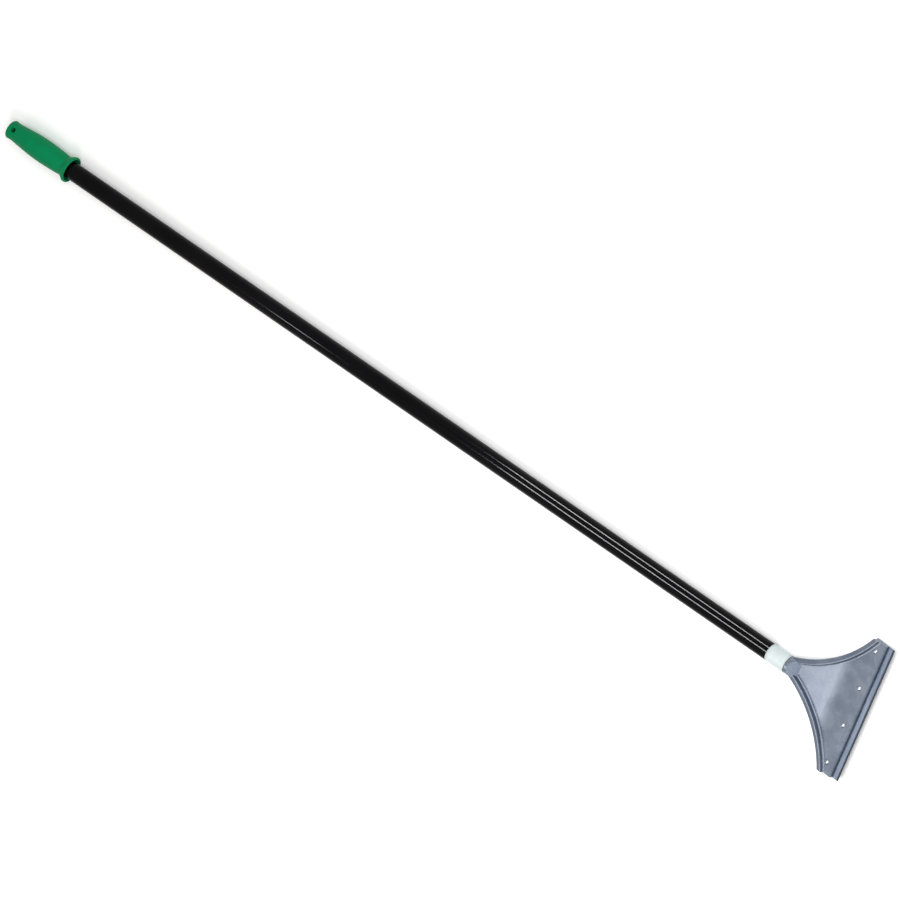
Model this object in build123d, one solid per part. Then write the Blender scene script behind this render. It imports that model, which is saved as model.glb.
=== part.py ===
from build123d import *
import math
import os

# Long-handled floor and ice scraper: cast head with a clamped blade, tube handle, moulded grip.
# Millimetres. The parts are drawn in a tool frame: the handle axis is X, pointing from the grip
# to the head, X = 0 is the shoulder of the head against the tube, and +Z is the face of the head.
# At the end everything is pitched so the tool lies level, face up, on its grip flange and screws.

# ---- driving sizes ---------------------------------------------------------------------------
OVERALL_LENGTH = 1524.0     # cutting edge to grip end, along the handle (60 in)
BLADE_LENGTH = 203.2        # along the cutting edge (8 in)
TUBE_OD = 25.0
TUBE_WALL = 1.5

# head casting
SIDE_RADIUS = 176.0         # the two hollow sides of the fan, in plan
CORNER_X = 97.5             # shoulder of the head to the back corners of the fan
RIM_WIDTH = 7.6             # raised rims along the hollow sides
RIM_HEIGHT = 7.6            # ridge of the rims above the web
RIM_TOP = 1.2               # ridge of the rims above the handle axis, at the neck
RIM_DROP = 1.5              # fall of the rim tops from the ridge to the outer edge
RIM_RIDGE = 1.8             # width left level at the ridge
RIM_RISE = 1.26             # slope of the ridge and web to the handle axis, degrees
RIM_ROUND = 1.3             # rounding along the edges of the rims
RIM_FILLET = 2.4            # fillet between rim and web
WEB_THICKNESS = 5.0
BEND_X = 76.0               # where the web turns up towards the blade
BEND_RADIUS = 160.0
BLADE_LIFT = 6.6            # angle between blade and handle axis, degrees
NECK_SLOPE_TOP = 4.0        # the round neck is sloped off from here ...
NECK_SLOPE_FOOT = 15.0      # ... down to the web here
WALL_STRAIGHT = 4.5         # the outer walls start to draw in this far below the ridge
WALL_DRAW = 6.5             # how far the walls draw in at the level of the underside
LIP_CHAMFER = 1.5

# blade, clamp plate and screws
SCREW_X = 105.7             # row of screws, from the shoulder of the head
SCREW_COUNT = 4
SCREW_MARGIN = 15.35        # end screws to the ends of the blade
SCREW_D = 5.0
EDGE_REACH = 24.0           # screw row to cutting edge
LIP_SETBACK = 10.0          # how far the blade stands out beyond the casting
BLADE_THICKNESS = 1.5
BEVEL_LENGTH = 1.8
EDGE_LAND = 0.35            # flat left at the cutting edge
BLADE_TAIL = 8.0            # screw row to the back edge of the blade
CLAMP_REACH = 11.5          # screw row to the front edge of the clamp plate
CLAMP_THICKNESS = 2.0
WASHER_OD = 9.0
WASHER_THICKNESS = 1.0
WASHER_SPLIT = 0.8
HEAD_D = 9.5
HEAD_HEIGHT = 2.2
SOCKET_AF = 3.0
SOCKET_DEPTH = 1.4
TIP_DROP = 0.3              # screw tips end this far below the web face
HOLE_CHAMFER = 1.1

# tube, label, spigot and rivet
SPIGOT_LENGTH = 70.0
RIVET_X = -50.0
RIVET_D = 4.0
RIVET_DEPTH = 9.0
RIVET_HEAD_D = 8.0
RIVET_HEAD_HEIGHT = 1.8
LABEL_LENGTH = 30.7
LABEL_GAP = 0.8             # bare tube between the label and the head
LABEL_THICKNESS = 0.2

# grip
GRIP_LENGTH = 112.0
GRIP_END_D = 26.6
GRIP_WAIST_D = 25.8
GRIP_BELLY_D = 32.4
GRIP_NECK_D = 28.4
FLANGE_D = 37.8
FLANGE_RIM = 3.2            # thickness of the flange rim along the axis
CUP_D = 33.0                # mouth of the cup inside the flange
CUP_DEPTH = 9.0
TUBE_SETBACK = 32.0         # the tube stops this far short of the grip end
HANG_D = 7.0
HANG_X = 10.6               # hang hole, from the grip end
HANG_ROLL = 26.4            # turn of the hang hole about the handle axis, degrees

# ---- fits ------------------------------------------------------------------------------------
SPIGOT_CLEARANCE = 0.05     # radial, spigot in tube
THREAD_CLEARANCE = 0.10     # radial, screw in its tapped hole
SHANK_CLEARANCE = 0.35      # radial, screw through blade, clamp plate and washer
CUP_CLEARANCE = 0.8         # radial, foot of the cup to the tube

# ---- derived ---------------------------------------------------------------------------------
TUBE_R = TUBE_OD / 2
BORE_R = TUBE_R - TUBE_WALL
HALF_BLADE = BLADE_LENGTH / 2
LIFT = math.radians(BLADE_LIFT)
RISE = math.tan(math.radians(RIM_RISE))
WEB_Z = RIM_TOP - RIM_HEIGHT            # web face at the shoulder of the head
BEND_Z = BEND_X * RISE + WEB_Z
EDGE_X = SCREW_X + EDGE_REACH * math.cos(LIFT)
GRIP_END_X = EDGE_X - OVERALL_LENGTH
STACK = WEB_THICKNESS + BLADE_THICKNESS + CLAMP_THICKNESS + WASHER_THICKNESS
FAR = 400.0

# The screw row: local X towards the cutting edge, local Z square to the web, Z = 0 on its face.
ROW_Z = BEND_Z + (SCREW_X - BEND_X) * math.tan(LIFT)
ROW = Plane(
    origin=(SCREW_X, 0, ROW_Z),
    x_dir=(math.cos(LIFT), 0, math.sin(LIFT)),
    z_dir=(-math.sin(LIFT), 0, math.cos(LIFT)),
)
SCREW_PITCH = (BLADE_LENGTH - 2 * SCREW_MARGIN) / (SCREW_COUNT - 1)
SCREW_Y = [SCREW_MARGIN - HALF_BLADE + i * SCREW_PITCH for i in range(SCREW_COUNT)]


def rod(radius, start, end):
    """Round bar along X between two stations."""
    return Location((start, 0, 0), (0, 90, 0)) * Cylinder(
        radius, end - start, align=(Align.CENTER, Align.CENTER, Align.MIN)
    )


def pin(radius, low, high):
    """Round bar along Z between two heights."""
    return Pos(0, 0, low) * Cylinder(
        radius, high - low, align=(Align.CENTER, Align.CENTER, Align.MIN)
    )


def bar(x0, x1, y0, y1, z0, z1):
    """Rectangular bar between two corners."""
    return Pos((x0 + x1) / 2, (y0 + y1) / 2, (z0 + z1) / 2) * Box(x1 - x0, y1 - y0, z1 - z0)


def side_centre():
    """Centre of the arc of the +Y hollow side, through the neck and the back corner."""
    run = CORNER_X
    climb = HALF_BLADE - TUBE_R
    chord = math.hypot(run, climb)
    rise = math.sqrt(SIDE_RADIUS ** 2 - chord ** 2 / 4)
    return (run / 2 - climb / chord * rise, (HALF_BLADE + TUBE_R) / 2 + run / chord * rise)


def side_y(x, inset=0.0):
    """Half width of the fan at a station, the sides moved in by an inset."""
    cx, cy = side_centre()
    return cy - math.sqrt((SIDE_RADIUS + inset) ** 2 - (x - cx) ** 2)


def side_x(y, inset=0.0):
    """Station at which the inset side reaches a half width."""
    cx, cy = side_centre()
    return cx + math.sqrt((SIDE_RADIUS + inset) ** 2 - (cy - y) ** 2)


def fan_face(inset=0.0):
    """Plan of the fan: two hollow sides, two straight ends and the lip."""
    x_end = side_x(HALF_BLADE, inset)
    x_mid = x_end / 2
    neck = side_y(0, inset)
    front = CORNER_X + FAR
    outline = [
        Line((0, -neck), (0, neck)),
        ThreePointArc((0, neck), (x_mid, side_y(x_mid, inset)), (x_end, HALF_BLADE)),
        Line((x_end, HALF_BLADE), (front, HALF_BLADE)),
        Line((front, HALF_BLADE), (front, -HALF_BLADE)),
        Line((front, -HALF_BLADE), (x_end, -HALF_BLADE)),
        ThreePointArc((x_end, -HALF_BLADE), (x_mid, -side_y(x_mid, inset)), (0, -neck)),
    ]
    return make_face(Curve() + outline)


def web_line(drop):
    """Side view of the web face, or of a line a given distance under it, with its soft bend."""
    turn = LIFT - math.radians(RIM_RISE)
    start_x = -20.0
    start = (start_x, start_x * RISE + WEB_Z - drop)
    bend = (BEND_X + drop * math.tan(turn / 2), BEND_Z - drop)
    end = (bend[0] + FAR * math.cos(LIFT), bend[1] + FAR * math.sin(LIFT))
    radius = BEND_RADIUS + drop
    return FilletPolyline(start, bend, end, radius=radius), start, end


def slab(line, start, end, height):
    """Everything between a side-view line and a height, right across the tool."""
    corners = [end, (end[0], height), (start[0], height), start]
    return extrude(Plane.XZ * make_face(Curve() + [line, Polyline(*corners)]), FAR, both=True)


def make_head():
    web_face = web_line(0)
    underside = web_line(WEB_THICKNESS)
    above_web = slab(*web_face, 60)
    above_underside = slab(*underside, 60)

    # outer form: rim tops falling outwards, straight walls, then walls drawn in below
    deep = WEB_Z - WEB_THICKNESS - 1
    upper = extrude(Pos(0, 0, -WALL_STRAIGHT) * fan_face(), WALL_STRAIGHT - RIM_DROP)
    lower = loft(
        [Pos(0, 0, deep) * fan_face(WALL_DRAW), Pos(0, 0, -WALL_STRAIGHT) * fan_face()],
        ruled=True,
    )
    top = loft(
        [Pos(0, 0, -RIM_DROP) * fan_face(), fan_face(RIM_WIDTH - RIM_RIDGE)],
        ruled=True,
    )
    form = Pos(0, 0, RIM_TOP) * Rot(0, -RIM_RISE, 0) * (top + upper + lower)
    fan = form & above_underside & bar(0, FAR, -FAR, FAR, -60, 60)

    # the web between the rims, and the rims stopped by the lip
    recess = extrude(fan_face(RIM_WIDTH), 60, both=True) & above_web
    slope = Plane.XZ * make_face(
        Polyline((NECK_SLOPE_TOP, TUBE_R), (NECK_SLOPE_FOOT, NECK_SLOPE_FOOT * RISE + WEB_Z),
                 (NECK_SLOPE_FOOT, -60), (-FAR, -60), (-FAR, TUBE_R), (NECK_SLOPE_TOP, TUBE_R))
    )
    behind_slope = extrude(slope, FAR, both=True)
    fan = fan - (recess - behind_slope)
    lip_x = EDGE_REACH - LIP_SETBACK
    front = ROW * bar(lip_x, FAR, -FAR, FAR, -60, 60)
    bevel = Pos(lip_x - LIP_CHAMFER / 2, 0, -LIP_CHAMFER / 2) * Rot(0, -45, 0)
    bevel = ROW * bevel * bar(0, 20, -FAR, FAR, -20, 20)
    fan = fan - front - bevel
    fan = round_rims(fan)

    # round neck sloped off on the face side, running out under the web
    neck = rod(TUBE_R, 0, 10)
    tail = Location((10, 0, 0), (0, 90, 0)) * Cone(
        TUBE_R, TUBE_R - 4, 22, align=(Align.CENTER, Align.CENTER, Align.MIN)
    )
    boss = (neck + tail) & (behind_slope + (above_underside - above_web))
    spigot = rod(BORE_R - SPIGOT_CLEARANCE, -SPIGOT_LENGTH, 5)
    head = fan + boss + (spigot & behind_slope) - rivet_hole()

    for y in SCREW_Y:
        hole = pin(SCREW_D / 2 + THREAD_CLEARANCE, -20, 20)
        mouth = Pos(0, 0, -HOLE_CHAMFER / 2) * Cone(
            SCREW_D / 2 + THREAD_CLEARANCE,
            SCREW_D / 2 + THREAD_CLEARANCE + HOLE_CHAMFER,
            HOLE_CHAMFER,
        )
        head = head - ROW * Pos(0, y, 0) * (hole + mouth)
    return head.solid()


def round_rims(fan):
    """Fillet the feet of the rims and round their top edges."""
    cx, cy = side_centre()

    def runs_along_side(edge, inset):
        middle = edge @ 0.5
        from_centre = math.hypot(middle.X - cx, cy - abs(middle.Y))
        on_line = abs(from_centre - SIDE_RADIUS - inset) < 0.2
        return on_line and middle.X > NECK_SLOPE_FOOT and edge.length > 20

    def below_ridge(edge):
        middle = edge @ 0.5
        return RIM_TOP + middle.X * RISE - middle.Z

    feet = [e for e in fan.edges() if runs_along_side(e, RIM_WIDTH) and below_ridge(e) > 2]
    fan = fillet(feet, RIM_FILLET)
    ridges = [e for e in fan.edges() if runs_along_side(e, RIM_WIDTH) and below_ridge(e) < 0.1]
    brinks = [e for e in fan.edges() if runs_along_side(e, 0)
              and abs(below_ridge(e) - RIM_DROP) < 0.1]
    return fillet(ridges + brinks, RIM_ROUND)


def make_blade():
    top = -WEB_THICKNESS
    low = top - BLADE_THICKNESS
    section = Plane.XZ * make_face(
        Polyline((-BLADE_TAIL, low), (EDGE_REACH, low), (EDGE_REACH, low + EDGE_LAND),
                 (EDGE_REACH - BEVEL_LENGTH, top), (-BLADE_TAIL, top), (-BLADE_TAIL, low))
    )
    blade = extrude(section, HALF_BLADE, both=True)
    for y in SCREW_Y:
        blade = blade - Pos(0, y, 0) * pin(SCREW_D / 2 + SHANK_CLEARANCE, low - 1, top + 1)
    return (ROW * blade).solid()


def make_clamp_plate():
    top = -WEB_THICKNESS - BLADE_THICKNESS
    low = top - CLAMP_THICKNESS
    plate = bar(-BLADE_TAIL, CLAMP_REACH, -HALF_BLADE, HALF_BLADE, low, top)
    plate = chamfer(plate.faces().sort_by(Axis.Z)[0].edges(), 0.6)
    for y in SCREW_Y:
        plate = plate - Pos(0, y, 0) * pin(SCREW_D / 2 + SHANK_CLEARANCE, low - 1, top + 1)
    return (ROW * plate).solid()


def make_lock_washer(y):
    low = -STACK
    high = low + WASHER_THICKNESS
    ring = pin(WASHER_OD / 2, low, high) - pin(SCREW_D / 2 + SHANK_CLEARANCE, low - 1, high + 1)
    ring = ring - bar(0, WASHER_OD, -WASHER_SPLIT / 2, WASHER_SPLIT / 2, low - 1, high + 1)
    return (ROW * Pos(0, y, 0) * ring).solid()


def make_clamp_screw(y):
    seat = -STACK
    shank = chamfer(
        pin(SCREW_D / 2, seat - 0.5, -TIP_DROP).edges().group_by(Axis.Z)[-1], 0.5
    )
    head = pin(HEAD_D / 2, seat - HEAD_HEIGHT, seat)
    head = fillet(head.edges().group_by(Axis.Z)[0], 0.7)
    socket = Pos(0, 0, seat - HEAD_HEIGHT) * extrude(
        RegularPolygon(SOCKET_AF / 2, 6, major_radius=False), SOCKET_DEPTH
    )
    return (ROW * Pos(0, y, 0) * (shank + head - socket)).solid()


def make_handle_tube():
    start = GRIP_END_X + TUBE_SETBACK
    tube = rod(TUBE_R, start, 0) - rod(BORE_R, start - 1, 1)
    return (tube - rivet_hole()).solid()


def rivet_hole():
    """Blind hole for the rivet, from the -Y side into the spigot."""
    reach = TUBE_R - RIVET_DEPTH
    return Location((RIVET_X, 0, 0), (90, 0, 0)) * pin(RIVET_D / 2, reach, TUBE_R + 5)


def make_head_rivet():
    shank = pin(RIVET_D / 2, TUBE_R - RIVET_DEPTH, TUBE_R + 0.5)
    dome_r = (RIVET_HEAD_D ** 2 / 4 + RIVET_HEAD_HEIGHT ** 2) / (2 * RIVET_HEAD_HEIGHT)
    cap = Pos(0, 0, TUBE_R + RIVET_HEAD_HEIGHT - dome_r) * Sphere(dome_r)
    cap = cap & pin(RIVET_HEAD_D / 2, TUBE_R - 1, TUBE_R + RIVET_HEAD_HEIGHT)
    rivet = Location((RIVET_X, 0, 0), (90, 0, 0)) * (cap + shank)
    return (rivet - (rod(TUBE_R, RIVET_X - 20, RIVET_X + 20) - rivet_hole())).solid()


def make_label_band():
    start = -LABEL_GAP - LABEL_LENGTH
    end = -LABEL_GAP
    return (rod(TUBE_R + LABEL_THICKNESS, start, end) - rod(TUBE_R, start - 1, end + 1)).solid()


def make_grip():
    neck_x = GRIP_LENGTH - 11.0
    rim_back = GRIP_LENGTH - FLANGE_RIM
    cup_foot = GRIP_LENGTH - CUP_DEPTH
    body = Spline(
        (2.4, GRIP_END_D / 2), (6.4, GRIP_WAIST_D / 2), (14, 13.2), (26, 14.3), (40, 15.5),
        (62, GRIP_BELLY_D / 2), (80, 15.7), (92, 15.0), (neck_x, GRIP_NECK_D / 2),
    )
    outline = [
        Line((0, 0), (0, GRIP_END_D / 2 - 2.4)),
        RadiusArc((0, GRIP_END_D / 2 - 2.4), (2.4, GRIP_END_D / 2), 2.4),
        body,
        Line((neck_x, GRIP_NECK_D / 2), (rim_back, FLANGE_D / 2)),
        Line((rim_back, FLANGE_D / 2), (GRIP_LENGTH - 1.2, FLANGE_D / 2)),
        RadiusArc((GRIP_LENGTH - 1.2, FLANGE_D / 2), (GRIP_LENGTH, FLANGE_D / 2 - 1.2), 1.2),
        Line((GRIP_LENGTH, FLANGE_D / 2 - 1.2), (GRIP_LENGTH, CUP_D / 2)),
        Line((GRIP_LENGTH, CUP_D / 2), (cup_foot, TUBE_R + CUP_CLEARANCE)),
        Line((cup_foot, TUBE_R + CUP_CLEARANCE), (cup_foot, TUBE_R)),
        Line((cup_foot, TUBE_R), (TUBE_SETBACK, TUBE_R)),
        Line((TUBE_SETBACK, TUBE_R), (TUBE_SETBACK, 0)),
        Line((TUBE_SETBACK, 0), (0, 0)),
    ]
    grip = revolve(Plane.XY * make_face(Curve() + outline), Axis.X, 360)
    hole = Pos(HANG_X, 0, 0) * Rot(-HANG_ROLL, 0, 0) * pin(HANG_D / 2, -30, 30)
    return (Pos(GRIP_END_X, 0, 0) * (grip - hole)).solid()


def resting_pitch():
    """Pitch that brings the grip flange and the screw heads down to one level."""
    flange = (GRIP_END_X + GRIP_LENGTH - FLANGE_RIM, -FLANGE_D / 2)
    depth = STACK + HEAD_HEIGHT
    back = -(HEAD_D / 2 - 0.7)
    heads = (SCREW_X + back * math.cos(LIFT) + depth * math.sin(LIFT),
             ROW_Z + back * math.sin(LIFT) - depth * math.cos(LIFT))
    return math.degrees(math.atan2(heads[1] - flange[1], heads[0] - flange[0]))


def main():
    parts = {
        "handle_tube": make_handle_tube(),
        "grip": make_grip(),
        "label_band": make_label_band(),
        "scraper_head": make_head(),
        "head_rivet": make_head_rivet(),
        "blade": make_blade(),
        "clamp_plate": make_clamp_plate(),
    }
    for number, y in enumerate(SCREW_Y, start=1):
        parts[f"clamp_screw_{number}"] = make_clamp_screw(y)
        parts[f"lock_washer_{number}"] = make_lock_washer(y)

    level = Rot(0, resting_pitch(), 0)
    box = Compound(children=[level * p for p in parts.values()]).bounding_box()
    base = Pos(-(box.min.X + box.max.X) / 2, -(box.min.Y + box.max.Y) / 2, -box.min.Z)
    os.makedirs("parts", exist_ok=True)
    for name, shape in parts.items():
        export_step(base * level * shape, f"parts/{name}.step")


main()
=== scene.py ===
import bmesh
import bpy
import math
from mathutils import Matrix, Vector


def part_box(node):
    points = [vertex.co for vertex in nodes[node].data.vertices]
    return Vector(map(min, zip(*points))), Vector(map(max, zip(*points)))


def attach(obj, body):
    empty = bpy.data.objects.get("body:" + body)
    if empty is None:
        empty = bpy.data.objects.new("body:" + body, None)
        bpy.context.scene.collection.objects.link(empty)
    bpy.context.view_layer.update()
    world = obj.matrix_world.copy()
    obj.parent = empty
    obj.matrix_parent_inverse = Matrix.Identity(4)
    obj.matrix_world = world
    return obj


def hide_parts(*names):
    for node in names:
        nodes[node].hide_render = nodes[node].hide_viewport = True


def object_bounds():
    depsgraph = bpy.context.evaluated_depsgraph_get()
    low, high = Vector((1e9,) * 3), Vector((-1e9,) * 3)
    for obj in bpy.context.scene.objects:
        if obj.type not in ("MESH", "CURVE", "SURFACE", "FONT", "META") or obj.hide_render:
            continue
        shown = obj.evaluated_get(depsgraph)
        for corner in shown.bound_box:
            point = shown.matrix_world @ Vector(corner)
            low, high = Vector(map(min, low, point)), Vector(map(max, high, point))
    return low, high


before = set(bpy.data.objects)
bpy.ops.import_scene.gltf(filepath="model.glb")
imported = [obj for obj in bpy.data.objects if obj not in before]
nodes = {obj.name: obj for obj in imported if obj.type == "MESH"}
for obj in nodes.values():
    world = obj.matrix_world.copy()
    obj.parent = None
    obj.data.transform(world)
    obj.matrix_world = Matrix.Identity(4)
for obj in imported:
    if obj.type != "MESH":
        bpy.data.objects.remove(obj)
cad_low, cad_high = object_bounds()
MM = 0.001

# ---- the tool's own axes, read from the tube's box ---------------------------------------------
# X runs along the handle to the blade and is 0 at the shoulder of the head; Z is out of the face.
tube_low, tube_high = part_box("handle_tube")
TUBE_R = (tube_high.y - tube_low.y) / 2
TUBE_SPAN = tube_high.x - tube_low.x
PITCH = math.atan2(tube_high.z - tube_low.z - 2 * TUBE_R, TUBE_SPAN)
shoulder_x = tube_high.x - TUBE_R * math.sin(PITCH)
shoulder_z = tube_low.z + TUBE_R * math.cos(PITCH)
TOOL = Matrix.Translation((shoulder_x, 0, shoulder_z)) @ Matrix.Rotation(PITCH, 4, "Y")

# The screw row: X towards the cutting edge, Z square to the web, Z = 0 on the web's face.
# Lengths here and in the screws and the label are in millimetres, and MM turns them into metres.
BLADE_LIFT = math.radians(6.6)
ROW_X = 105.7               # shoulder to the screws
ROW_Z = -1.292              # web's face at the screws, from the tube's axis
ROW = TOOL @ Matrix.Translation((ROW_X * MM, 0, ROW_Z * MM)) @ Matrix.Rotation(-BLADE_LIFT, 4, "Y")
SCREW_COUNT = 4
SCREW_PITCH = 57.5
STACK = 9.5                 # web, blade, clamp plate and lock washer


# ---- node helpers ------------------------------------------------------------------------------
def add(tree, kind, **values):
    """New node; a keyword is a property of the node, or else one of its inputs."""
    node = tree.nodes.new(kind)
    for key, value in values.items():
        if hasattr(node, key):
            setattr(node, key, value)
        else:
            node.inputs[key].default_value = value
    return node


def link(tree, source, target):
    tree.links.new(source, target)


def new_group(name, inputs, outputs):
    """Empty node group, from rows of (name, kind, default) and (name, kind)."""
    tree = bpy.data.node_groups.new(name, "ShaderNodeTree")
    for socket_name, kind, default in inputs:
        socket = tree.interface.new_socket(socket_name, in_out="INPUT", socket_type=kind)
        if default is not None:
            socket.default_value = default
    for socket_name, kind in outputs:
        tree.interface.new_socket(socket_name, in_out="OUTPUT", socket_type=kind)
    start = tree.nodes.new("NodeGroupInput")
    end = tree.nodes.new("NodeGroupOutput")
    return tree, start.outputs, end.inputs


def scaled_noise(tree, vector, scale, detail, roughness=0.55):
    """Noise whose scale comes from a socket."""
    noise = add(tree, "ShaderNodeTexNoise", Detail=detail, Roughness=roughness)
    link(tree, vector, noise.inputs["Vector"])
    link(tree, scale, noise.inputs["Scale"])
    return noise.outputs["Fac"]


def spread(tree, value, low, high, to_low=0.0, to_high=1.0):
    """Map a value smoothly from one range to another."""
    node = add(tree, "ShaderNodeMapRange", interpolation_type="SMOOTHSTEP")
    link(tree, value, node.inputs["Value"])
    limits = {"From Min": low, "From Max": high, "To Min": to_low, "To Max": to_high}
    for key, number in limits.items():
        node.inputs[key].default_value = number
    return node.outputs["Result"]


def combine(tree, operation, first, second):
    """Two values joined by one math operation."""
    node = add(tree, "ShaderNodeMath", operation=operation)
    link(tree, first, node.inputs[0])
    link(tree, second, node.inputs[1])
    return node.outputs[0]


def mix_colors(tree, factor):
    """Colour mix node whose factor comes from a socket."""
    mix = add(tree, "ShaderNodeMix", data_type="RGBA")
    link(tree, factor, mix.inputs["Factor"])
    return mix


# ---- shared effects ----------------------------------------------------------------------------
def make_grain_group():
    """Fine surface grain: a height that varies at one scale, with broader waves under it."""
    tree, given, out = new_group(
        "surface_grain",
        [("Vector", "NodeSocketVector", None), ("Scale", "NodeSocketFloat", 900.0),
         ("Broad Scale", "NodeSocketFloat", 120.0), ("Broad Share", "NodeSocketFloat", 0.35)],
        [("Height", "NodeSocketFloat")],
    )
    fine = scaled_noise(tree, given["Vector"], given["Scale"], detail=3.0)
    broad = scaled_noise(tree, given["Vector"], given["Broad Scale"], detail=2.0)
    mix = add(tree, "ShaderNodeMix", data_type="FLOAT")
    link(tree, given["Broad Share"], mix.inputs["Factor"])
    link(tree, fine, mix.inputs["A"])
    link(tree, broad, mix.inputs["B"])
    link(tree, mix.outputs["Result"], out["Height"])
    return tree


def make_cloud_group():
    """Soft blotches between two colours, and the same blotches as a mask."""
    tree, given, out = new_group(
        "soft_blotches",
        [("Vector", "NodeSocketVector", None), ("Scale", "NodeSocketFloat", 30.0),
         ("Dark", "NodeSocketColor", (0.2, 0.2, 0.2, 1)),
         ("Light", "NodeSocketColor", (0.3, 0.3, 0.3, 1))],
        [("Color", "NodeSocketColor"), ("Mask", "NodeSocketFloat")],
    )
    cloud = scaled_noise(tree, given["Vector"], given["Scale"], detail=3.0, roughness=0.5)
    mask = spread(tree, cloud, low=0.3, high=0.7)
    mix = mix_colors(tree, mask)
    link(tree, given["Dark"], mix.inputs["A"])
    link(tree, given["Light"], mix.inputs["B"])
    link(tree, mix.outputs["Result"], out["Color"])
    link(tree, mask, out["Mask"])
    return tree


def make_scratch_group():
    """Long fine scratches: Stretch squeezes the noise across their run."""
    tree, given, out = new_group(
        "fine_scratches",
        [("Vector", "NodeSocketVector", None), ("Stretch", "NodeSocketVector", (1.0, 30.0, 30.0)),
         ("Scale", "NodeSocketFloat", 40.0), ("Rarity", "NodeSocketFloat", 0.62)],
        [("Mask", "NodeSocketFloat"), ("Lines", "NodeSocketFloat")],
    )
    squeezed = add(tree, "ShaderNodeVectorMath", operation="MULTIPLY")
    link(tree, given["Vector"], squeezed.inputs[0])
    link(tree, given["Stretch"], squeezed.inputs[1])
    lines = scaled_noise(
        tree, squeezed.outputs["Vector"], given["Scale"], detail=6.0, roughness=0.7)
    over = combine(tree, "SUBTRACT", lines, given["Rarity"])
    mask = spread(tree, over, low=0.0, high=0.06)
    link(tree, mask, out["Mask"])
    link(tree, lines, out["Lines"])
    return tree


GRAIN = make_grain_group()
CLOUD = make_cloud_group()
SCRATCH = make_scratch_group()


class Finish:
    """A principled material in the making; its groups take object coordinates."""

    def __init__(self, name, base, roughness, metallic=0.0, specular=0.5):
        self.material = bpy.data.materials.new(name)
        self.material.use_nodes = True
        self.material.diffuse_color = (*base, 1)
        self.tree = self.material.node_tree
        self.shader = self.tree.nodes["Principled BSDF"]
        self.shader.inputs["Base Color"].default_value = (*base, 1)
        self.shader.inputs["Metallic"].default_value = metallic
        self.shader.inputs["Roughness"].default_value = roughness
        self.shader.inputs["Specular IOR Level"].default_value = specular
        self.vector = add(self.tree, "ShaderNodeTexCoord").outputs["Object"]

    def group(self, effect, **values):
        """Place a shared group with this material's own values."""
        node = self.tree.nodes.new("ShaderNodeGroup")
        node.node_tree = effect
        for key, value in values.items():
            node.inputs[key].default_value = value
        link(self.tree, self.vector, node.inputs["Vector"])
        return node.outputs

    def color(self, source):
        link(self.tree, source, self.shader.inputs["Base Color"])

    def tint(self, under, mask, colour):
        """Lay one colour over another through a mask."""
        mix = mix_colors(self.tree, mask)
        link(self.tree, under, mix.inputs["A"])
        mix.inputs["B"].default_value = (*colour, 1)
        return mix.outputs["Result"]

    def roughness(self, source, low, high):
        """Roughness that follows a mask from low to high."""
        value = spread(self.tree, source, 0.0, 1.0, low, high)
        link(self.tree, value, self.shader.inputs["Roughness"])

    def bump(self, *heights):
        """Bump nodes in a row; each height is (source, depth in metres, strength)."""
        normal = None
        for source, depth, strength in heights:
            node = add(self.tree, "ShaderNodeBump", Distance=depth, Strength=strength)
            link(self.tree, source, node.inputs["Height"])
            if normal:
                link(self.tree, normal, node.inputs["Normal"])
            normal = node.outputs["Normal"]
        link(self.tree, normal, self.shader.inputs["Normal"])


# ---- finishes ----------------------------------------------------------------------------------
def black_gloss_paint():
    """The tube's black, with long light scuffs along it."""
    made = Finish("black_gloss_paint", (0.002, 0.002, 0.0025), roughness=0.1, specular=0.05)
    black, worn_black = (0.0015, 0.0015, 0.002, 1), (0.003, 0.003, 0.0036, 1)
    tone = made.group(CLOUD, Scale=9.0, Dark=black, Light=worn_black)
    scuffs = made.group(SCRATCH, Stretch=(1.5, 40.0, 40.0), Scale=14.0, Rarity=0.66)
    made.color(made.tint(tone["Color"], scuffs["Mask"], (0.006, 0.006, 0.007)))
    made.roughness(scuffs["Mask"], low=0.1, high=0.24)
    peel = made.group(GRAIN, **{"Scale": 420.0, "Broad Scale": 90.0, "Broad Share": 0.5})
    made.bump((peel["Height"], 0.00004, 0.12))
    return made.material


def green_moulded_plastic():
    """The grip's green, rubbed lighter in places and faintly grained."""
    made = Finish("green_moulded_plastic", (0.0, 0.2, 0.07), roughness=0.45, specular=0.08)
    tone = made.group(CLOUD, Scale=45.0, Dark=(0.0, 0.185, 0.065, 1), Light=(0.0, 0.215, 0.077, 1))
    rubs = made.group(SCRATCH, Stretch=(4.0, 24.0, 24.0), Scale=26.0, Rarity=0.64)
    made.color(made.tint(tone["Color"], rubs["Mask"], (0.002, 0.235, 0.09)))
    made.roughness(tone["Mask"], low=0.4, high=0.55)
    skin = made.group(GRAIN, **{"Scale": 1600.0, "Broad Scale": 260.0, "Broad Share": 0.3})
    made.bump((skin["Height"], 0.00012, 0.22))
    return made.material


def white_label_film():
    """The bare label's off-white film, a little rubbed and not quite flat."""
    made = Finish("white_label_film", (0.6, 0.67, 0.68), roughness=0.38, specular=0.4)
    tone = made.group(CLOUD, Scale=70.0, Dark=(0.53, 0.6, 0.61, 1), Light=(0.58, 0.65, 0.66, 1))
    rubs = made.group(SCRATCH, Stretch=(20.0, 2.0, 2.0), Scale=30.0, Rarity=0.68)
    made.color(made.tint(tone["Color"], rubs["Mask"], (0.5, 0.55, 0.56)))
    made.roughness(tone["Mask"], low=0.32, high=0.46)
    waves = made.group(GRAIN, **{"Scale": 700.0, "Broad Scale": 60.0, "Broad Share": 0.7})
    made.bump((waves["Height"], 0.0001, 0.15))
    return made.material


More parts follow.
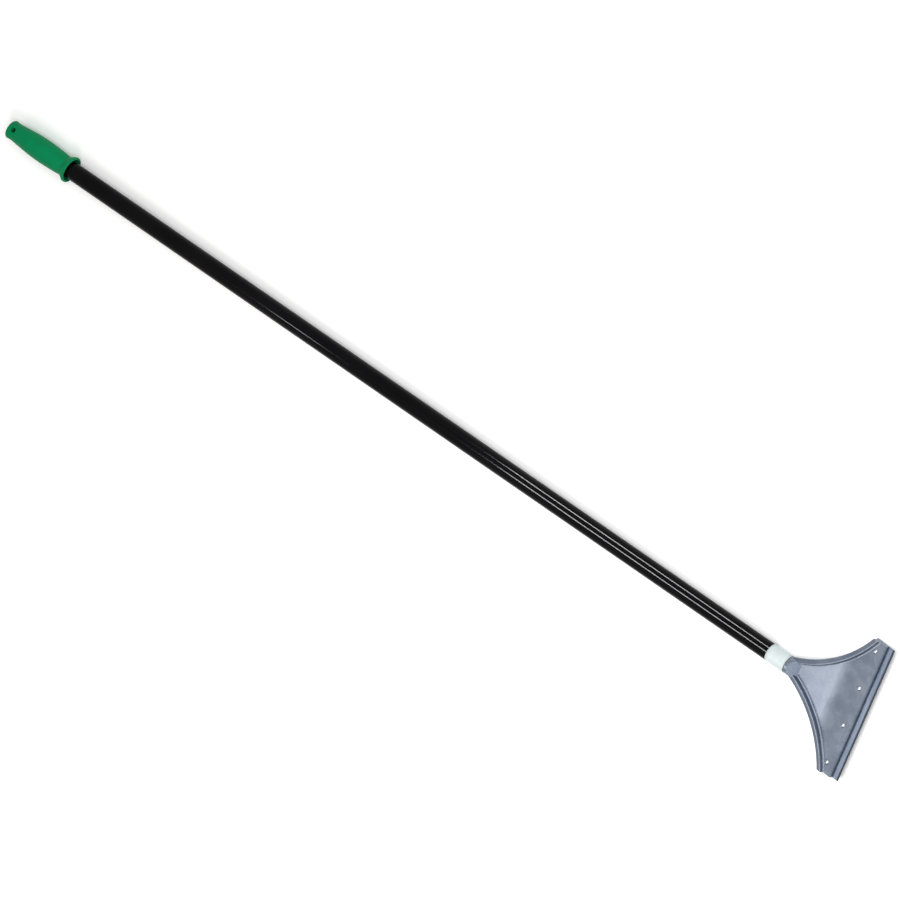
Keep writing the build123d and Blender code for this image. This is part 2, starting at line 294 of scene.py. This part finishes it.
def cast_aluminium():
    """The head's dull casting, rubbed lighter across its width."""
    made = Finish("cast_aluminium", (0.13, 0.155, 0.2), metallic=0.62, roughness=0.27)
    dull, clean = (0.112, 0.138, 0.182, 1), (0.146, 0.172, 0.218, 1)
    tone = made.group(CLOUD, Scale=38.0, Dark=dull, Light=clean)
    rubbed = made.group(SCRATCH, Stretch=(30.0, 1.5, 6.0), Scale=22.0, Rarity=0.62)
    made.color(made.tint(tone["Color"], rubbed["Mask"], (0.16, 0.185, 0.23)))
    made.roughness(tone["Mask"], low=0.24, high=0.29)
    skin = made.group(GRAIN, **{"Scale": 1100.0, "Broad Scale": 95.0, "Broad Share": 0.45})
    made.bump((skin["Height"], 0.0001, 0.15), (rubbed["Lines"], 0.00003, 0.1))
    return made.material


# Painted shade on the blade's bevel at the cutting edge: where its dark colour starts and where it
# is full, back from the edge.
EDGE_SHADE_START = 2.7 * MM    # back from the cutting edge
EDGE_SHADE_FULL = 2.1 * MM


def ground_blade_steel():
    """Steel ground along the blade, with painted shade colouring its bevel at the cutting edge dark.
    """
    made = Finish("ground_blade_steel", (0.14, 0.175, 0.24), metallic=1.0, roughness=0.3)
    tone = made.group(CLOUD, Scale=24.0, Dark=(0.12, 0.155, 0.215, 1), Light=(0.16, 0.195, 0.26, 1))
    lines = made.group(SCRATCH, Stretch=(60.0, 1.2, 60.0), Scale=18.0, Rarity=0.56)
    steel = made.tint(tone["Color"], lines["Mask"], (0.19, 0.225, 0.29))
    place = add(made.tree, "ShaderNodeSeparateXYZ")
    link(made.tree, made.vector, place.inputs["Vector"])
    edge_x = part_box("blade")[1].x
    # Painted shade: the bevel at the cutting edge is coloured dark in place of the shade it falls
    # in.
    bevel = spread(made.tree, place.outputs["X"], edge_x - EDGE_SHADE_START, edge_x - EDGE_SHADE_FULL)
    made.color(made.tint(steel, bevel, (0.06, 0.07, 0.09)))
    made.roughness(lines["Lines"], low=0.2, high=0.42)
    made.bump((lines["Lines"], 0.00004, 0.35))
    return made.material


def zinc_plate(name, roughness):
    """Zinc plating, bright or dull by its roughness."""
    made = Finish(name, (0.62, 0.63, 0.65), metallic=1.0, roughness=roughness)
    tone = made.group(CLOUD, Scale=120.0, Dark=(0.55, 0.56, 0.6, 1), Light=(0.68, 0.69, 0.7, 1))
    rubs = made.group(SCRATCH, Stretch=(60.0, 60.0, 8.0), Scale=24.0, Rarity=0.6)
    made.color(made.tint(tone["Color"], rubs["Mask"], (0.78, 0.78, 0.79)))
    made.roughness(tone["Mask"], roughness - 0.05, roughness + 0.1)
    skin = made.group(GRAIN, **{"Scale": 2200.0, "Broad Scale": 400.0, "Broad Share": 0.4})
    made.bump((skin["Height"], 0.00004, 0.25))
    return made.material


# ---- mesh helpers ------------------------------------------------------------------------------
SEGMENTS = 48               # sides of a turned solid


def mesh_piece(name, mesh, body, material, replaces, crease=35):
    """Turn a mesh into a piece that rides a body; edges sharper than crease degrees stay crisp."""
    for face in mesh.faces:
        face.smooth = True
    for edge in mesh.edges:
        if len(edge.link_faces) == 2 and edge.calc_face_angle() > math.radians(crease):
            edge.smooth = False
    bmesh.ops.recalc_face_normals(mesh, faces=mesh.faces)
    data = bpy.data.meshes.new(name)
    mesh.to_mesh(data)
    mesh.free()
    data.materials.append(material)
    piece = bpy.data.objects.new(name, data)
    bpy.context.scene.collection.objects.link(piece)
    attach(piece, body)
    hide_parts(*replaces)
    return piece


def turned(profile, place):
    """Closed solid round local Z from (height, radius) rows; a radius may vary with the angle."""
    mesh = bmesh.new()
    rings = []
    for height, radius in profile:
        ring = []
        for k in range(SEGMENTS):
            angle = 2 * math.pi * k / SEGMENTS
            r = radius(angle) if callable(radius) else radius
            point = Vector((r * math.cos(angle), r * math.sin(angle), height)) * MM
            ring.append(mesh.verts.new(place @ point))
        rings.append(ring)
    for below, above in zip(rings, rings[1:]):
        for k in range(SEGMENTS):
            n = (k + 1) % SEGMENTS
            mesh.faces.new((below[k], below[n], above[n], above[k]))
    mesh.faces.new(rings[0])
    mesh.faces.new(rings[-1])
    return mesh


# ---- screws with threads and hexagon sockets ---------------------------------------------------
# Heights are from the web's face, and a screw hangs down from it.
SHANK_R = 2.5
PLAIN_SHANK = 1.0           # next to the head
RUN_OUT = 0.15              # plain shank to the first row of the thread
HEAD_R = 4.75
HEAD_HEIGHT = 2.2
HEAD_ROUND = 0.5            # rounded outer edge of the head
ROUND_MIDDLE = 0.15         # how far the round's middle stands inside its corner
HEAD_CHAMFER = 0.2          # where the head meets the lock washer
SOCKET_AF = 3.0             # across the flats
SOCKET_DEPTH = 1.4
SOCKET_FLOOR_R = 0.4        # round centre of the socket's floor
MOUTH_WIDER = 0.3           # chamfered mouth of the socket, across the flats
MOUTH_DEPTH = 0.12
TIP = -0.3                  # height of the tip
TIP_TAPER = 0.45            # how much narrower the tip is than the shank
TIP_CENTRE_R = 0.3
THREAD_PITCH = 0.8
THREAD_DEPTH = 0.42
THREAD_ROWS = 84
ROOT_AT = 0.4               # crest's middle to the root, in turns
FLANK_SLOPE = 5.5           # depths per turn


def hexagon(across_flats):
    """Radius of a hexagon, as a function of the angle."""
    def radius(angle):
        from_flat = (angle + math.pi / 6) % (math.pi / 3) - math.pi / 6
        return across_flats / 2 / math.cos(from_flat)
    return radius


def thread(height, crest):
    """Radius of the thread at one height, as a function of the angle."""
    def radius(angle):
        phase = (height / THREAD_PITCH - angle / (2 * math.pi)) % 1.0
        from_crest = abs(phase - 0.5)
        ridge = min(max((ROOT_AT - from_crest) * FLANK_SLOPE, 0.0), 1.0)
        return crest - THREAD_DEPTH * (1 - ridge)
    return radius


def make_screw(index, y, material):
    """One clamp screw, from the floor of its socket round the head and up the thread to the tip."""
    bottom = -STACK - HEAD_HEIGHT
    profile = [
        (bottom + SOCKET_DEPTH, SOCKET_FLOOR_R),
        (bottom + SOCKET_DEPTH, hexagon(SOCKET_AF)),
        (bottom + MOUTH_DEPTH, hexagon(SOCKET_AF)),
        (bottom, hexagon(SOCKET_AF + MOUTH_WIDER)),
        (bottom, HEAD_R - HEAD_ROUND),
        (bottom + ROUND_MIDDLE, HEAD_R - ROUND_MIDDLE),
        (bottom + HEAD_ROUND, HEAD_R),
        (-STACK - HEAD_CHAMFER, HEAD_R),
        (-STACK, HEAD_R - HEAD_CHAMFER),
        (-STACK, SHANK_R),
        (-STACK + PLAIN_SHANK, SHANK_R),
    ]
    start = -STACK + PLAIN_SHANK + RUN_OUT
    for k in range(THREAD_ROWS + 1):
        height = start + (TIP - start) * k / THREAD_ROWS
        crest = min(SHANK_R, SHANK_R - TIP_TAPER + (TIP - height))
        profile.append((height, thread(height, crest)))
    profile.append((TIP, TIP_CENTRE_R))
    place = ROW @ Matrix.Translation((0, y * MM, 0))
    mesh = turned(profile, place)
    return mesh_piece(f"hex_socket_screw_{index}", mesh, f"screw_{index}",
                      material, [f"clamp_screw_{index}"], crease=32)


# ---- label wrapped round the tube --------------------------------------------------------------
LABEL_LENGTH = 30.7
LABEL_GAP = 0.8             # shoulder to the label
FILM = 0.09                 # thickness
FILM_LIFT = 0.01            # glue between the tube and the film
LABEL_START = math.radians(-152)
OVERLAP = math.radians(24)
LAP_RISE = 0.15             # radians over which the lapped end climbs its own film
LABEL_ROWS = 110
LABEL_COLUMNS = 6


def make_label(material):
    """A strip of film wrapped once round the tube, its end lapped on itself below."""
    mesh = bmesh.new()
    sweep = 2 * math.pi + OVERLAP
    columns = [-LABEL_GAP - LABEL_LENGTH * k / LABEL_COLUMNS for k in range(LABEL_COLUMNS + 1)]
    radius = TUBE_R / MM
    inner, outer = [], []
    for k in range(LABEL_ROWS + 1):
        along = sweep * k / LABEL_ROWS
        climb = min(max((along - 2 * math.pi + LAP_RISE) / LAP_RISE, 0.0), 1.0)
        lift = FILM_LIFT + FILM * climb
        angle = LABEL_START + along
        for side, r in ((inner, radius + lift), (outer, radius + lift + FILM)):
            line = []
            for x in columns:
                point = Vector((x, r * math.sin(angle), r * math.cos(angle))) * MM
                line.append(mesh.verts.new(TOOL @ point))
            side.append(line)
    for k in range(LABEL_ROWS):
        for j in range(LABEL_COLUMNS):
            for side in (inner, outer):
                mesh.faces.new((side[k][j], side[k][j + 1], side[k + 1][j + 1], side[k + 1][j]))
        for j in (0, LABEL_COLUMNS):
            mesh.faces.new((inner[k][j], outer[k][j], outer[k + 1][j], inner[k + 1][j]))
    for k in (0, LABEL_ROWS):
        for j in range(LABEL_COLUMNS):
            mesh.faces.new((inner[k][j], inner[k][j + 1], outer[k][j + 1], outer[k][j]))
    return mesh_piece("label_wrap", mesh, "handle", material, ["label_band"])


# ---- stage -------------------------------------------------------------------------------------
WORLD_FILL = 0.5            # strength of the world on dull surfaces, where 1 is white
FLOOR_SIZE = 60             # metres
FLOOR_DROP = 0.2 * MM       # floor under the CAD box
PAPER = (0.8, 0.8, 0.8)
PAPER_SEEN = (1.15, 1.15, 1.15, 1)


def background_rays(tree):
    """1 for camera, glossy and transmission rays, else 0."""
    rays = add(tree, "ShaderNodeLightPath").outputs
    seen = combine(tree, "MAXIMUM", rays["Is Camera Ray"], rays["Is Glossy Ray"])
    return combine(tree, "MAXIMUM", seen, rays["Is Transmission Ray"])


def make_floor():
    """Paper that looks white and keeps the shadow; from below it is clear, to show the underside."""
    bpy.ops.mesh.primitive_plane_add(size=FLOOR_SIZE, location=(0, 0, cad_low.z - FLOOR_DROP))
    floor = bpy.context.object
    floor.name = "floor"
    paper = Finish("floor_paper", PAPER, roughness=0.9, specular=0.0)
    tint = mix_colors(paper.tree, background_rays(paper.tree))
    tint.inputs["A"].default_value = (*PAPER, 1)
    tint.inputs["B"].default_value = PAPER_SEEN
    paper.color(tint.outputs["Result"])
    clear = add(paper.tree, "ShaderNodeBsdfTransparent")
    side = add(paper.tree, "ShaderNodeMixShader")
    geometry = add(paper.tree, "ShaderNodeNewGeometry")
    link(paper.tree, geometry.outputs["Backfacing"], side.inputs[0])
    link(paper.tree, paper.shader.outputs["BSDF"], side.inputs[1])
    link(paper.tree, clear.outputs["BSDF"], side.inputs[2])
    surface = paper.tree.nodes["Material Output"].inputs["Surface"]
    link(paper.tree, side.outputs["Shader"], surface)
    floor.data.materials.append(paper.material)
    return floor


def make_world():
    """White to the camera and in reflections, and a plain soft fill for everything else."""
    world = bpy.data.worlds.new("studio")
    bpy.context.scene.world = world
    world.use_nodes = True
    tree = world.node_tree
    strength = spread(tree, background_rays(tree), 0.0, 1.0, WORLD_FILL, 1.0)
    link(tree, strength, tree.nodes["Background"].inputs["Strength"])
    tree.nodes["Background"].inputs["Color"].default_value = (1, 1, 1, 1)


def softbox(name, seen_from, direction, distance, size, level, tint=(1, 1, 1)):
    """Area lamp in a direction from a point, facing it; level 1 is as bright as white paper."""
    data = bpy.data.lights.new(name, "AREA")
    data.shape = "RECTANGLE"
    data.size, data.size_y = size
    data.energy = level * math.pi * size[0] * size[1]
    data.color = tint
    lamp = bpy.data.objects.new(name, data)
    bpy.context.scene.collection.objects.link(lamp)
    away = Vector(direction).normalized()
    lamp.location = Vector(seen_from) + away * distance
    along = Vector((1, 0, 0)) - away * away.x
    along.normalize()
    lamp.rotation_euler = Matrix((along, away.cross(along), away)).transposed().to_euler()
    return lamp


def gloss_only(lamp, piece):
    """Keep a lamp to the reflections in one piece."""
    lamp.visible_diffuse = False
    chosen = bpy.data.collections.new(f"{lamp.name}_objects")
    chosen.objects.link(piece)
    lamp.light_linking.receiver_collection = chosen


# What the lamps face, in metres.
MIDDLE = (0, 0, 0)
WEB = (0.67, 0.0, 0.01)
NECK = (0.64, 0.0, 0.015)
HEAD_HALF = (0.44, 0.0, 0.015)
GRIP_HALF = (-0.24, 0.0, 0.02)
WARM = (1.0, 0.94, 0.88)


def make_lamps():
    """Three softboxes for everything, and three strips that draw the lines on the gloss tube."""
    boxes = [
        softbox("lamp_key", MIDDLE, (0.35, 0.45, 0.82), 3.0, (2.4, 2.4), level=3.3),
        softbox("lamp_head", WEB, (-0.26, -0.40, 0.88), 1.5, (0.5, 0.9), level=6.6, tint=WARM),
        softbox("lamp_neck", NECK, (0.9, -0.40, 0.17), 1.2, (0.5, 0.44), level=4.0),
    ]
    strips = [
        softbox("lamp_line_side", HEAD_HALF, (-0.43, 0.78, 0.45), 1.25, (0.5, 0.13), level=160),
        softbox("lamp_line_top", HEAD_HALF, (-0.43, 0.02, 0.90), 1.25, (0.5, 0.13), level=160),
        softbox("lamp_glint", GRIP_HALF, (-0.43, -0.13, 0.90), 1.25, (0.07, 0.13), level=84),
    ]
    for strip in strips:
        gloss_only(strip, nodes["handle_tube"])
    return boxes + strips


CAMERA_PLACE = (7.247976, 6.710272, 13.623775)
CAMERA_TURN = (-10.199, 34.6318, 25.5123)
CAMERA_LENS = 505.53


def make_camera():
    """A long lens, far off, looking down on the head's face."""
    data = bpy.data.cameras.new("camera")
    camera = bpy.data.objects.new("camera", data)
    bpy.context.scene.collection.objects.link(camera)
    camera.location = CAMERA_PLACE
    camera.rotation_euler = [math.radians(angle) for angle in CAMERA_TURN]
    data.sensor_width = 36
    data.lens = CAMERA_LENS
    data.clip_start = 0.1
    data.clip_end = 100
    bpy.context.scene.camera = camera
    bpy.context.scene.view_settings.view_transform = "Standard"


# ---- assembly ----------------------------------------------------------------------------------
def finish_cad_node(name, material):
    """Give a CAD node its finish and leave its mesh alone."""
    data = nodes[name].data
    data.materials.clear()
    data.materials.append(material)


make_world()
make_floor()
make_lamps()
make_camera()

zinc = zinc_plate("bright_zinc_plate", 0.22)
finish_cad_node("handle_tube", black_gloss_paint())
finish_cad_node("grip", green_moulded_plastic())
finish_cad_node("scraper_head", cast_aluminium())
finish_cad_node("blade", ground_blade_steel())
finish_cad_node("clamp_plate", zinc_plate("dull_zinc_plate", 0.35))
finish_cad_node("head_rivet", zinc)
make_label(white_label_film())
for i in range(SCREW_COUNT):
    row_y = (i - (SCREW_COUNT - 1) / 2) * SCREW_PITCH
    make_screw(i + 1, row_y, zinc)
    finish_cad_node(f"lock_washer_{i + 1}", zinc)
